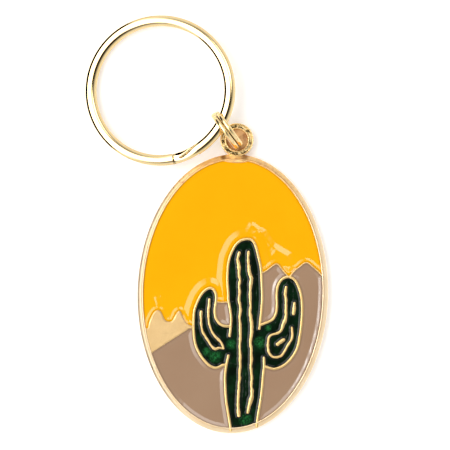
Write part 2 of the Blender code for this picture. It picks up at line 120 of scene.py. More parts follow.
LEFT_ARM = [(-0.28, -5.42), (-1.0, -5.42), (-1.65, -5.28), (-2.25, -4.88), (-2.7, -4.2), (-2.9, -3.4),
            (-2.93, -2.6), (-2.82, -1.7), (-2.74, -0.9), (-2.8, -0.2), (-3.0, 0.3), (-3.35, 0.72),
            (-3.85, 0.86), (-4.45, 0.58), (-5.05, 0.0), (-5.6, -0.9), (-6.05, -2.0), (-6.33, -3.0),
            (-6.41, -4.0), (-6.41, -5.0), (-6.38, -6.0), (-6.3, -7.0), (-6.15, -8.0), (-5.86, -9.0),
            (-5.35, -10.0), (-4.65, -11.0), (-3.75, -11.9), (-2.85, -12.35), (-2.05, -12.25),
            (-1.45, -11.92), (-0.78, -11.8)]
RIGHT_ARM = [(4.62, -5.15), (5.3, -4.82), (6.1, -4.5), (6.7, -4.1), (7.1, -3.5), (7.33, -2.6), (7.36, -1.4),
             (7.3, -0.2), (7.33, 0.8), (7.52, 1.65), (7.95, 2.4), (8.5, 2.85), (9.2, 3.0), (9.85, 2.82),
             (10.4, 2.3), (10.85, 1.5), (11.15, 0.7), (11.38, -0.2), (11.52, -1.2), (11.58, -2.4),
             (11.57, -3.6), (11.5, -4.8), (11.4, -6.0), (11.24, -7.1), (11.05, -8.2), (10.72, -9.2),
             (10.2, -10.15), (9.5, -11.05), (8.5, -11.85), (7.3, -12.32), (6.4, -12.2), (5.48, -11.9)]
SPINE_LEFT = [(0.95, 6.85), (0.78, 6.3), (0.68, 5.8), (0.85, 5.0), (0.95, 4.0), (0.95, 3.2), (1.12, 2.4),
              (1.05, 1.6), (1.02, 1.0), (1.15, 0.4), (1.1, -0.3), (1.05, -1.1), (1.25, -1.9), (1.34, -2.6),
              (1.28, -3.4), (1.2, -4.0), (1.33, -5.0), (1.38, -6.0), (1.43, -7.0), (1.37, -8.0),
              (1.36, -9.0), (1.43, -10.0), (1.48, -11.2), (1.5, -12.2), (1.43, -13.2), (1.46, -14.2),
              (1.35, -15.2), (1.34, -16.2), (1.3, -17.2), (1.28, -18.2), (1.34, -19.2), (1.46, -20.2)]
SPINE_RIGHT = [(2.45, 7.0), (2.4, 6.3), (2.45, 5.4), (2.56, 4.5), (2.66, 3.7), (2.9, 3.0), (3.02, 2.4),
               (2.95, 1.6), (2.9, 0.8), (2.9, -0.2), (2.93, -1.2), (3.0, -2.0), (2.93, -2.9), (3.08, -3.9),
               (3.24, -4.9), (3.27, -6.0), (3.2, -7.0), (3.1, -8.0), (3.26, -8.9), (3.3, -10.0),
               (3.35, -11.0), (3.28, -12.0), (3.38, -13.0), (3.48, -14.0), (3.42, -15.0), (3.57, -16.0),
               (3.55, -17.0), (3.3, -18.0), (3.08, -19.0), (2.94, -19.65)]
RIGHT_HOOK = [(8.84, 1.3), (8.76, 0.7), (8.7, 0.0), (8.86, -0.8), (8.88, -2.0), (8.9, -3.0), (8.86, -4.0),
              (8.5, -5.0), (8.15, -5.95), (7.5, -6.4), (6.75, -6.6), (6.25, -6.95), (6.07, -7.7),
              (6.05, -8.8), (6.25, -9.65), (6.75, -10.25), (7.35, -10.4), (8.05, -10.25), (8.6, -9.75),
              (8.95, -9.1), (9.4, -8.3), (9.85, -7.5), (10.07, -6.7), (10.0, -6.0), (9.94, -5.45)]
FOLD_OUTER = [(-5.2, -3.15), (-5.2, -3.7), (-5.17, -4.6), (-5.07, -5.6), (-4.83, -6.5), (-4.4, -7.2),
              (-3.95, -7.85), (-3.55, -8.5), (-3.1, -9.05), (-2.6, -9.24), (-2.1, -9.05), (-1.4, -9.12)]
FOLD_INNER = [(-3.86, -1.0), (-3.92, -2.0), (-3.98, -3.0), (-3.95, -4.2), (-3.75, -5.3), (-3.4, -6.2),
              (-2.95, -6.95), (-2.4, -7.5), (-1.85, -8.0), (-1.5, -8.6), (-1.33, -9.1)]
PEAKS_INNER = [(4.65, 3.55), (5.3, 3.82), (5.9, 4.28), (6.5, 4.8), (7.05, 5.1), (7.5, 4.95), (8.0, 4.35),
               (8.5, 3.75), (9.15, 3.05)]
PEAKS_OUTER = [(9.4, 3.0), (9.8, 3.65), (10.3, 4.15), (11.0, 4.75), (11.6, 5.25), (12.1, 5.45),
               (12.6, 5.25), (13.2, 4.75), (14.0, 4.1), (14.95, 3.2)]
GAP_SEAM = [(-2.8, -1.4), (-1.7, -1.47), (-0.65, -1.35)]
HILL_TOP = [(-14.3, -6.1), (-13.95, -5.95), (-13.8, -5.1), (-13.5, -4.3), (-13.2, -3.65), (-12.85, -3.2),
            (-12.35, -3.02), (-11.95, -3.2), (-11.6, -3.8), (-11.25, -4.5), (-10.85, -4.82),
            (-10.35, -4.88), (-9.95, -4.7), (-9.6, -4.1), (-9.3, -3.45), (-8.95, -3.08), (-8.65, -3.12),
            (-8.4, -3.55), (-8.05, -4.3), (-7.65, -4.95), (-7.1, -5.32), (-6.4, -5.5)]
HILL_FOOT = [(-6.4, -5.97), (-7.0, -5.97), (-7.35, -6.15), (-13.0, -9.98), (-13.25, -10.35),
             (-13.25, -10.75)]

# Line name: centre line, then widths at stations spread evenly along it
LINES = {
    "trunk_upper": (TRUNK_UPPER, [OUTLINE_W]),
    "trunk_left": (TRUNK_LEFT, [OUTLINE_W]),
    "trunk_right": (TRUNK_RIGHT, [OUTLINE_W]),
    "left_arm": (LEFT_ARM, [OUTLINE_W]),
    "right_arm": (RIGHT_ARM, [OUTLINE_W]),
    "spine_left": (SPINE_LEFT, [0.42, 0.56, 0.42, 0.4, 0.46, 0.4, 0.46, 0.4, 0.46, 0.4, 0.46, 0.42, 0.56]),
    "spine_right": (SPINE_RIGHT, [0.42, 0.5, 0.62, 0.46, 0.4, 0.58, 0.52, 0.44, 0.46, 0.42, 0.46, 0.62,
                                  0.44]),
    "right_hook": (RIGHT_HOOK, [0.42, 0.48, 0.44, 0.6, 0.4, 0.38, 0.42, 0.38, 0.36, 0.38, 0.36]),
    "right_fleck_upper": ([(10.27, -1.35), (10.25, -2.2), (10.18, -3.1)], [0.46, 0.6, 0.48]),
    "right_fleck_lower": ([(7.65, -8.2), (8.15, -7.8), (8.62, -7.42)], [0.62, 0.56, 0.5]),
    "fold_outer": (FOLD_OUTER, [0.5, 0.38, 0.38, 0.36, 0.42, 0.34]),
    "fold_inner": (FOLD_INNER, [0.38, 0.4, 0.36, 0.36, 0.4, 0.34]),
    "peaks_inner": (PEAKS_INNER, [SEAM_W]),
    "peaks_outer": (PEAKS_OUTER, [SEAM_W]),
    "gap_seam": (GAP_SEAM, [SEAM_W]),
}

# Rough cell borders in mm: each runs under a raised line, or through metal or another cell
SKY_CELL = ([(-17.0, -6.25), (-14.0, -6.25), (-12.3, -4.6), (-7.2, -5.7), (-5.5, -5.0), (-3.9, -3.0),
             (-3.4, -1.4)] + GAP_SEAM + [(0.3, -1.3), (2.0, 3.0), (3.8, 3.2)] + PEAKS_INNER
            + [(9.28, 2.5)] + PEAKS_OUTER + [(17.0, 1.4), (17.0, 25.0), (-17.0, 25.0)])
INNER_HILL_CELL = PEAKS_INNER + [(9.1, 2.4), (8.3, 1.0), (8.1, -3.4), (6.9, -5.1), (4.2, -5.6), (3.8, 3.2)]
RIGHT_HILL_CELL = PEAKS_OUTER + [(17.0, 1.4), (17.0, -25.0), (2.5, -25.0), (2.5, -12.0), (8.0, -10.0),
                                 (10.2, -4.0), (10.0, 1.5)]
LEFT_HILL_CELL = [(-5.4, -5.9), (-7.2, -5.8), (-13.2, -9.8), (-17.0, -12.0), (-17.0, -25.0), (2.0, -25.0),
                  (2.0, -12.0), (-2.7, -11.0), (-5.0, -8.5)]
ARM_GAP_CELL = [(-3.6, -1.3)] + GAP_SEAM + [(0.3, -1.3), (0.3, -5.9), (-3.0, -5.9)]



# ---------------------------------------------------------------- curves and outlines
def smooth(points, spacing=0.16):
    """Evenly spread points on the curve through the given points."""
    pts = [Vector(p) for p in points]
    ext = [2 * pts[0] - pts[1]] + pts + [2 * pts[-1] - pts[-2]]
    per_span = 12
    fine = []
    for i in range(len(pts) - 1):
        p0, p1, p2, p3 = ext[i:i + 4]
        for k in range(per_span):
            t = k / per_span
            fine.append(0.5 * (2 * p1 + (p2 - p0) * t + (2 * p0 - 5 * p1 + 4 * p2 - p3) * t * t
                               + (3 * p1 - p0 - 3 * p2 + p3) * t ** 3))
    fine.append(pts[-1])
    run = [0.0]
    for a, b in zip(fine, fine[1:]):
        run.append(run[-1] + (b - a).length)
    count = max(2, round(run[-1] / spacing))
    out, j = [], 0
    for k in range(count + 1):
        target = run[-1] * k / count
        while j < len(run) - 2 and run[j + 1] < target:
            j += 1
        f = (target - run[j]) / max(run[j + 1] - run[j], 1e-9)
        out.append(fine[j].lerp(fine[j + 1], f))
    return out


def width_at(widths, f):
    """Width at the fraction f of a line, eased between evenly spread stations."""
    if len(widths) == 1:
        return widths[0]
    s = f * (len(widths) - 1)
    i = min(int(s), len(widths) - 2)
    t = s - i
    t = t * t * (3 - 2 * t)
    return widths[i] + (widths[i + 1] - widths[i]) * t


def stations(points, widths):
    """(point, side vector, half width) along a line, run out half a width past both ends to a round tip.

    A line of varying width is hand cut: its path wanders a little and its edges are rougher.
    """
    hand_cut = len(widths) > 1
    path = smooth(points)
    if hand_cut:
        path = [p + WANDER * Vector((noise.noise(Vector((p.x, p.y * 1.7, 1.0))),
                                     noise.noise(Vector((p.x * 1.7, p.y, 5.0))))) for p in path]
    n = len(path) - 1
    rough = 0.3 if hand_cut else 0.1
    toward_tip = (0.72, 0.45, 0.22, 0.06, 0.0)
    out = []

    def add(p, d, half):
        out.append((p, Vector((-d.y, d.x)), half))

    def rounded(half, f):
        return math.sqrt(max(half * half - (half - half * f) ** 2, 0.0))

    first, last = width_at(widths, 0.0) / 2, width_at(widths, 1.0) / 2
    d0, d1 = (path[1] - path[0]).normalized(), (path[-1] - path[-2]).normalized()
    for f in toward_tip[::-1]:
        add(path[0] - d0 * first * (1 - f), d0, rounded(first, f))
    for i, p in enumerate(path):
        d = (path[min(i + 2, n)] - path[max(i - 2, 0)]).normalized()
        uneven = 1 + rough * noise.noise(Vector((p.x * 1.9, p.y * 1.9, 2.0)))
        add(p, d, width_at(widths, i / n) / 2 * uneven)
    for f in toward_tip:
        add(path[-1] + d1 * last * (1 - f), d1, rounded(last, f))
    return out


def outline(points, widths, grow=0.0):
    """Closed border of a raised line."""
    st = stations(points, widths)
    left = [p + side * (h + grow) for p, side, h in st[1:-1]]
    right = [p - side * (h + grow) for p, side, h in st[1:-1]]
    return [st[0][0]] + left + [st[-1][0]] + right[::-1]


def oval(a, b, steps):
    """Points round an oval with half-width a and half-height b."""
    return [Vector((a * math.cos(2 * math.pi * k / steps), b * math.sin(2 * math.pi * k / steps)))
            for k in range(steps)]


def cactus_border():
    """Border of the whole cactus along the middle of its outline, run out over the rim at the foot."""
    def between(path, start, stop):
        pts = smooth(path)
        i = min(range(len(pts)), key=lambda k: (pts[k] - Vector(start)).length)
        j = min(range(len(pts)), key=lambda k: (pts[k] - Vector(stop)).length)
        return pts[i:j + 1] if i <= j else pts[j:i + 1][::-1]

    return (between(TRUNK_UPPER, (-0.2, -5.3), (4.6, -5.1))
            + between(RIGHT_ARM, (4.75, -5.1), (5.7, -11.95))
            + between(TRUNK_RIGHT, (5.48, -12.0), (4.5, -22.0))
            + [Vector((4.5, -24.0)), Vector((0.2, -24.0))]
            + between(TRUNK_LEFT, (0.16, -22.7), (-0.78, -11.8))
            + between(LEFT_ARM, (-0.95, -11.83), (-0.4, -5.42)))


def hill_border():
    """Border of the bare metal hill; its left end runs out under the rim."""
    near_arm, near_rim = smooth(HILL_FOOT[:3], 0.12), smooth(HILL_FOOT[3:], 0.12)
    slope = smooth(HILL_FOOT[2:4], 0.5)
    under_rim = [Vector((-14.0, -10.2)), Vector((-15.1, -6.2))]
    return smooth(HILL_TOP, 0.12) + near_arm + slope[1:] + near_rim[1:] + under_rim


# ---------------------------------------------------------------- mesh helpers
def add_object(name, mesh, mat, sharp):
    """Smooth object from a mesh, with edges sharp above an angle in degrees."""
    mesh.materials.append(mat)
    mesh.shade_smooth()
    mesh.set_sharp_from_angle(angle=math.radians(sharp))
    obj = bpy.data.objects.new(name, mesh)
    bpy.context.scene.collection.objects.link(obj)
    return obj


def new_mesh(name, verts, faces):
    """Mesh in metres from points in mm."""
    mesh = bpy.data.meshes.new(name)
    mesh.from_pydata([tuple(c * MM for c in v) for v in verts], [], [tuple(f) for f in faces])
    return mesh


def mesh_object(name, verts, faces, mat, sharp):
    """Object from points in mm, with doubled points joined and faces turned outward."""
    mesh = new_mesh(name, verts, faces)
    bm = bmesh.new()
    bm.from_mesh(mesh)
    bmesh.ops.remove_doubles(bm, verts=bm.verts, dist=2e-7)
    bmesh.ops.dissolve_degenerate(bm, edges=bm.edges, dist=1e-7)
    bmesh.ops.recalc_face_normals(bm, faces=bm.faces)
    bm.to_mesh(mesh)
    bm.free()
    return add_object(name, mesh, mat, sharp)


def skin(rings, capped=True):
    """Vertices and faces over equal rings of points: capped at both ends, or joined from last to first."""
    n, m = len(rings), len(rings[0])
    verts = [p for ring in rings for p in ring]
    faces = []
    for r in range(n - 1 if capped else n):
        for i in range(m):
            a, b = r * m + i, r * m + (i + 1) % m
            c, d = ((r + 1) % n) * m + (i + 1) % m, ((r + 1) % n) * m + i
            faces.append((a, b, c, d))
    if capped:
        faces.append(tuple(range(m))[::-1])
        faces.append(tuple((n - 1) * m + i for i in range(m)))
    return verts, faces


def merge(parts):
    """Several (vertices, faces) pairs as one."""
    verts, faces = [], []
    for v, f in parts:
        k = len(verts)
        verts += list(v)
        faces += [tuple(i + k for i in face) for face in f]
    return verts, faces


def wall_tree(points):
    """Tree that finds the nearest of the given points in the plane."""
    tree = kdtree.KDTree(len(points))
    for i, p in enumerate(points):
        tree.insert((p[0], p[1], 0.0), i)
    tree.balance()
    return tree


def mark(obj, name, value):
    """Stores a number at each vertex for the material, worked out from the vertex's place in mm."""
    marks = obj.data.attributes.new(name, "FLOAT", "POINT")
    for v, slot in zip(obj.data.vertices, marks.data):
        slot.value = value(v.co / MM)


def piece(obj, body, node):
    """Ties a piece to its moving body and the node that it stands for."""
    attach(obj, body)
    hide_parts(node)
    return obj


# ---------------------------------------------------------------- materials
class Nodes:
    """Short calls for building the node tree of a material or a world, new or already begun."""

    def __init__(self, owner):
        owner.use_nodes = True
        self.owner, self.tree = owner, owner.node_tree
        self.bsdf = self.tree.nodes.get("Principled BSDF")
        begun = [n for n in self.tree.nodes if n.type == "TEX_COORD"]
        self.coord = begun[0] if begun else self.node("ShaderNodeTexCoord")

    def node(self, kind, **values):
        n = self.tree.nodes.new(kind)
        for key, value in values.items():
            setattr(n, key, value)
        return n

    def link(self, a, b):
        self.tree.links.new(a, b)

    def set(self, **values):
        for key, value in values.items():
            self.bsdf.inputs[key.replace("_", " ")].default_value = value

    def colour(self, socket):
        self.link(socket, self.bsdf.inputs["Base Color"])

    def colour_so_far(self):
        return self.bsdf.inputs["Base Color"].links[0].from_socket

    def vector_math(self, op, a, b=None):
        n = self.node("ShaderNodeVectorMath", operation=op)
        self.link(a, n.inputs[0])
        if b:
            n.inputs[1].default_value = b
        return n.outputs["Value" if op in ("DISTANCE", "DOT_PRODUCT") else "Vector"]

    def distance(self, x, y, z):
        """Distance from a place given in mm."""
        return self.vector_math("DISTANCE", self.coord.outputs["Object"], (x * MM, y * MM, z * MM))

    def axes(self, vector):
        n = self.node("ShaderNodeSeparateXYZ")
        self.link(vector, n.inputs["Vector"])
        return n.outputs

    def attribute(self, name):
        return self.node("ShaderNodeAttribute", attribute_name=name).outputs["Fac"]

    def scaled(self, xyz):
        n = self.node("ShaderNodeMapping")
        n.inputs["Scale"].default_value = xyz
        self.link(self.coord.outputs["Object"], n.inputs["Vector"])
        return n.outputs["Vector"]

    def noise(self, scale, detail, rough, vector=None, distortion=0.0):
        n = self.node("ShaderNodeTexNoise")
        n.inputs["Scale"].default_value = scale
        n.inputs["Detail"].default_value = detail
        n.inputs["Roughness"].default_value = rough
        n.inputs["Distortion"].default_value = distortion
        self.link(vector or self.coord.outputs["Object"], n.inputs["Vector"])
        return n.outputs["Fac"]

    def ramp(self, fac, stops):
        """Grey ramp through (position, brightness) stops."""
        n = self.node("ShaderNodeValToRGB")
        el = n.color_ramp.elements
        while len(el) < len(stops):
            el.new(0.5)
        for e, (pos, v) in zip(el, stops):
            e.position = pos
            e.color = (v, v, v, 1.0)
        self.link(fac, n.inputs["Fac"])
        return n.outputs["Color"]

    def span(self, value, lo, hi, to_lo=0.0, to_hi=1.0):
        n = self.node("ShaderNodeMapRange")
        for key, v in zip(("From Min", "From Max", "To Min", "To Max"), (lo, hi, to_lo, to_hi)):
            n.inputs[key].default_value = v
        self.link(value, n.inputs["Value"])
        return n.outputs["Result"]

    def math(self, op, a, b):
        n = self.node("ShaderNodeMath", operation=op)
        for sock, v in zip(n.inputs, (a, b)):
            if isinstance(v, (int, float)):
                sock.default_value = v
            else:
                self.link(v, sock)
        return n.outputs["Value"]

    def mix(self, fac, a, b):
        n = self.node("ShaderNodeMix", data_type="RGBA")
        for sock, v in ((n.inputs[0], fac), (n.inputs[6], a), (n.inputs[7], b)):
            if isinstance(v, tuple):
                sock.default_value = (*v, 1.0)
            else:
                self.link(v, sock)
        return n.outputs[2]

    def bump(self, height, strength, distance, under=None):
        n = self.node("ShaderNodeBump")
        n.inputs["Strength"].default_value = strength
        n.inputs["Distance"].default_value = distance
        self.link(height, n.inputs["Height"])
        if under:
            self.link(under, n.inputs["Normal"])
        return n.outputs["Normal"]


def new_material(name):
    return Nodes(bpy.data.materials.new(name))


def gold(name, colour, shade, roughness, grain=0.0, scratches=0.25):
    """Gold plate: slightly uneven tone, fine scratches and, where asked, sandblast grain."""
    m = new_material(name)
    tone = m.noise(260.0, 4.0, 0.6)
    m.colour(m.mix(m.span(tone, 0.35, 0.65), colour, shade))
    m.set(Metallic=1.0)
    fine = m.noise(1400.0, 3.0, 0.6)
    rough = m.span(m.math("MULTIPLY", tone, fine), 0.1, 0.45, roughness * 0.7, roughness * 1.35)
    m.link(rough, m.bsdf.inputs["Roughness"])
    hair = m.noise(900.0, 2.0, 0.5, m.scaled((1.0, 14.0, 1.0)), 0.3)
    normal = m.bump(m.span(hair, 0.35, 0.75), scratches, 0.00001)
    if grain:
        normal = m.bump(m.noise(9000.0, 2.0, 0.7), grain, 0.00002, normal)
    m.link(normal, m.bsdf.inputs["Normal"])
    return m.owner


def rim_gold():
    """Struck gold of rim and back: pale, warmer and mottled toward the top; painted shade on the left and in
    the eye's crevices.
    """
    m = Nodes(gold("rim gold", (1.0, 0.8, 0.54), (0.93, 0.72, 0.45), 0.36))
    x, y, _ = m.axes(m.coord.outputs["Object"])
    tone = m.mix(m.span(y, 10.0 * MM, 21.0 * MM), m.colour_so_far(), (0.93, 0.61, 0.26))
    mottle = m.math("MULTIPLY", m.noise(1500.0, 3.0, 0.7), m.span(y, 8.0 * MM, 17.0 * MM, 0.55, 1.0))
    tone = m.mix(m.span(mottle, 0.5, 0.62, 0.0, 0.6), tone, (0.72, 0.4, 0.2))
    # Painted shade: the rim turns browner toward the left side, where the light from the left falls
    # brightest.
    tone = m.mix(m.span(x, -15.8 * MM, -8.0 * MM, 0.5, 0.0), tone, (0.72, 0.53, 0.34))
    # Painted shade: darkens the rim gold in the crevices on both sides of the eye's neck.
    for cx, cy, r in NECK_SHADE_SPOTS:
        near = m.span(m.distance(cx, cy, 2.0), 0.35 * r * MM, r * MM, 0.85, 0.0)
        tone = m.mix(near, tone, (0.3, 0.12, 0.03))
    m.colour(tone)
    return m.owner


def glossy_skin(m, roughness, ior, wave_scale, wave_height):
    """Clear coat as the only reflection, on a very slightly wavy surface."""
    m.set(IOR=1.5, Specular_IOR_Level=0.0, Coat_Weight=1.0, Coat_Roughness=roughness, Coat_IOR=ior)
    m.link(m.bump(m.noise(wave_scale, 2.0, 0.5), wave_height, 0.00003), m.bsdf.inputs["Coat Normal"])


def enamel(name, base, deep):
    """Glossy poured enamel with a faintly uneven tone, and painted shade where it meets the metal."""
    m = new_material(name)
    tone = m.mix(m.span(m.noise(90.0, 3.0, 0.55), 0.35, 0.7), base, deep)
    dark = tuple(0.6 * c for c in base)
    # Painted shade: darker along the walls, from the vertex mark edge.
    m.colour(m.mix(m.span(m.attribute("edge"), 0.0, 1.0, 0.0, 0.65), tone, dark))
    m.set(Roughness=0.5)
    glossy_skin(m, 0.04, 1.6, 420.0, 0.12)
    return m.owner


def green_enamel():
    """Dark translucent green: nearly black, with grainy lighter patches where the metal glows through."""
    m = new_material("cactus green enamel")
    glow = None
    for x, y, r in GLOWS:
        near = m.span(m.distance(x, y, 2.2), 0.0, r * MM, 1.0, 0.0)
        glow = near if glow is None else m.math("MAXIMUM", glow, near)
    spots = m.math("MULTIPLY", glow, m.span(m.noise(3800.0, 3.0, 0.75), 0.42, 0.68, 0.15, 1.6))
    dark = m.mix(m.span(m.noise(420.0, 3.0, 0.6), 0.4, 0.7), (0.0022, 0.006, 0.0025), (0.004, 0.022, 0.007))
    glowing = m.mix(spots, dark, (0.02, 0.16, 0.04))
    # Painted shade: near black along the walls, from the vertex mark edge.
    m.colour(m.mix(m.attribute("edge"), glowing, (0.001, 0.002, 0.001)))
    m.set(Roughness=0.3)
    glossy_skin(m, 0.03, 1.35, 700.0, 0.2)
    return m.owner


def rough_gold(name, mottle, tones, roughness, grain):
    """Unpolished gold in two tones: mottle is (scale, detail, lo, hi), grain (scale, strength, distance)."""
    m = new_material(name)
    scale, detail, lo, hi = mottle
    m.colour(m.mix(m.span(m.noise(scale, detail, 0.6), lo, hi), *tones))
    m.set(Metallic=1.0, Roughness=roughness)
    scale, strength, distance = grain
    m.link(m.bump(m.noise(scale, 2.0, 0.6), strength, distance), m.bsdf.inputs["Normal"])
    return m.owner


def wound_gold(name, colour, shade, roughness, scratches):
    """Gold of a wound ring, with painted shade in the crease between its coils."""
    m = Nodes(gold(name, colour, shade, roughness, scratches=scratches))
    # Painted shade: darkest between the coils, from the vertex mark crease.
    m.colour(m.mix(m.span(m.attribute("crease"), 0.2, 0.8), m.colour_so_far(), (0.1, 0.055, 0.012)))
    return m.owner


# ---------------------------------------------------------------- medallion metal
def ridge(points, widths):
    """A raised line: drafted flanks, rounded shoulders and a slightly crowned top."""
    draft, foot = 0.012, 0.07
    rings = []
    for p, side, h in stations(points, widths):
        h = h + draft if h > 0.02 else h
        r = min(0.1, 0.6 * h)
        crown = LINE_TOP_Z - 0.05 * (1 - min(h / 0.12, 1.0))
        left = [(-h - foot, FLOOR_Z - 0.05), (-h - draft, crown - 0.16), (-h + 0.1 * r, crown - 0.07),
                (-h + 0.4 * r, crown - 0.025), (-h + r, crown - 0.006)]
        profile = left + [(0.0, crown)] + [(-s, z) for s, z in left[::-1]]
        rings.append([(p.x + side.x * s, p.y + side.y * s, z) for s, z in profile])
    return skin(rings)


def plate_blank():
    """Oval blank: flat back with a soft edge, sloping rim, a fine groove, thin lip and pocket floor."""
    profile = [(0.7, 0.0), (0.45, 0.0), (0.2, 0.03), (0.06, 0.11), (0.0, 0.26), (0.0, 1.4),
               (0.0, 1.68), (0.015, 1.78), (0.06, 1.87), (0.14, 1.94), (0.3, 2.03), (0.48, 2.12),
               (0.63, 2.19), (0.65, 2.17), (0.67, 2.07), (0.69, 2.07), (0.71, 2.3), (0.74, 2.37),
               (0.79, 2.395), (0.84, 2.4), (0.9, 2.395), (0.945, 2.36), (0.97, 2.25), (1.02, FLOOR_Z)]
    steps = 300
    return skin([[(p.x, p.y, z) for p in oval(PLATE_A - i, PLATE_B - i, steps)] for i, z in profile])


def medallion_metal(rim):
    """Plate blank and the raised lines on it."""
    struck = gold("struck gold", (0.88, 0.62, 0.27), (0.8, 0.54, 0.21), 0.36)
    blank = mesh_object("medallion_blank", *plate_blank(), rim, sharp=50)
    piece(blank, "medallion", "medallion_plate")
    lines = mesh_object("raised_lines", *merge([ridge(p, w) for p, w in LINES.values()]), struck, sharp=60)
    piece(lines, "medallion", "medallion_plate")


# ---------------------------------------------------------------- enamel
def lattice(step):
    """Evenly spread points in the field, in staggered rows."""
    pts = []
    y, row = -FIELD_B, 0
    while y < FIELD_B:
        x = -FIELD_A + (step / 2 if row % 2 else 0.0)
        while x < FIELD_A:
            if (x / FIELD_A) ** 2 + (y / FIELD_B) ** 2 < 1.0:
                pts.append((x, y))
            x += step
        y += step * math.sqrt(3) / 2
        row += 1
    return pts


def arrangement():
    """Triangles over the whole field, each with the set of shapes it lies in."""
    shapes = {"field": oval(FIELD_A, FIELD_B, 360), "cactus": cactus_border(), "hill": hill_border(),
              "sky_cell": SKY_CELL, "inner_cell": INNER_HILL_CELL, "right_cell": RIGHT_HILL_CELL,
              "left_cell": LEFT_HILL_CELL, "gap_cell": ARM_GAP_CELL}
    for name, (points, widths) in LINES.items():
        shapes["line_" + name] = outline(points, widths, -0.008)
    walls = wall_tree([p for name, s in shapes.items() if name.startswith(("line", "field", "hill"))
                       for p in s])
    verts, faces = [], []
    for s in shapes.values():
        s = [Vector(p) for p in s]
        if sum(a.x * b.y - b.x * a.y for a, b in zip(s, s[1:] + s[:1])) < 0:
            s.reverse()
        faces.append(list(range(len(verts), len(verts) + len(s))))
        verts += s
    for p in lattice(MESH_STEP):
        if walls.find((p[0], p[1], 0.0))[2] > MESH_STEP * 0.45:
            verts.append(Vector(p))
    pts, _, tris, _, _, owners = delaunay_2d_cdt(verts, [], faces, 1, 1e-5, True)
    names = list(shapes)
    return pts, tris, [{names[i] for i in own} for own in owners]


def in_cell(own, cell):
    """Whether a triangle with these owners belongs to a cell: in the field, off the lines, not covered."""
    if cell not in own or "field" not in own or any(o.startswith("line") for o in own):
        return False
    return cell in ("cactus", "hill") or not own & {"cactus", "hill"}


def largest_island(tris):
    """Drops slivers that touch nothing else."""
    parent = {}

    def root(i):
        while parent.setdefault(i, i) != i:
            parent[i] = parent[parent[i]]
            i = parent[i]
        return i

    for a, b, c in tris:
        parent[root(a)] = root(b)
        parent[root(b)] = root(c)
    groups = {}
    for t in tris:
        groups.setdefault(root(t[0]), []).append(t)
    return max(groups.values(), key=len)


def step_down(d, near, far):
    """1 up to the near distance, 0 beyond the far one, an even slope with soft ends between."""
    t = min(max((d - near) / (far - near), 0.0), 1.0)
    if t > 0.5:
        return 1 - step_down(far + near - d, near, far)
    return 1 - (t * t / 0.4 if t < 0.2 else t - 0.1) / 0.8


def swell(x, y):
    """Height of the yellow's swells: each rises gently and falls more steeply on the side toward the rim."""
    z = 0.0
    for (ax, ay), (bx, by), width, height in SWELLS:
        ex, ey = bx - ax, by - ay
        size = math.hypot(ex, ey)
        f = ((x - ax) * ex + (y - ay) * ey) / (size * size)
        t = (ex * (y - ay) - ey * (x - ax)) / size
        if -0.4 < f < 1.4 and -2.4 < t < width:
            ends = step_down(abs(f - 0.5), 0.3, 0.62)
            z += height * ends * step_down(-t, 0.3, 2.2) * step_down(t, -width / 2, width / 2)
    return z


def skin_height(x, y, trees, skin_shape, swelling):
    """Height of a skin: its level, the climbs toward its walls and slow waves."""
    level, climbs, wave = skin_shape
    z = level + sum(rise * step_down(trees[walls].find((x, y, 0.0))[2], near, far)
                    for walls, rise, near, far in climbs)
    z += wave * (noise.noise(Vector((x * 0.6, y * 0.4, 3.0)))
                 + 0.4 * noise.noise(Vector((x * 1.7, y * 0.9, 8.0))))
    return z + swell(x, y) if swelling else z


def filled_cell(name, pts, tris, mat, height):
    """Closed solid over a cell's triangles: a skin at the given height and walls down to the pocket floor."""
    used = sorted({i for t in tris for i in t})
    index = {old: new for new, old in enumerate(used)}
    tris = [tuple(index[i] for i in t) for t in tris]
    shared = {}
    for t in tris:
        for i in range(3):
            a, b = t[i], t[(i + 1) % 3]
            shared.setdefault(tuple(sorted((a, b))), []).append((a, b))
    border = [edges[0] for edges in shared.values() if len(edges) == 1]
    verts = [(x, y, height(x, y)) for x, y in (pts[i] for i in used)]
    low = {}
    for i in sorted({i for edge in border for i in edge}):
        low[i] = len(verts)
        verts.append((verts[i][0], verts[i][1], FLOOR_Z + 0.02))
    mesh = new_mesh(name, verts, tris + [(b, a, low[a], low[b]) for a, b in border])
    bm = bmesh.new()
    bm.from_mesh(mesh)
    open_edges = [e for e in bm.edges if len(e.link_faces) == 1]
    bmesh.ops.triangle_fill(bm, edges=open_edges, use_beauty=False)
    bmesh.ops.recalc_face_normals(bm, faces=bm.faces)
    bm.to_mesh(mesh)
    bm.free()
    return add_object(name, mesh, mat, sharp=55)


def skin_walls():
    """Trees of the walls that a skin climbs toward, by name."""
    def borders(*names):
        return [p for name in names for p in outline(*LINES[name])]

    hill = hill_border()
    return {"all": wall_tree(borders(*LINES) + hill + oval(FIELD_A, FIELD_B, 500)),
            "hill": wall_tree(hill),
            "cactus": wall_tree(borders("trunk_upper", "left_arm", "right_arm")),
            "peaks": wall_tree(borders("peaks_inner", "peaks_outer", "gap_seam") + smooth(HILL_TOP))}


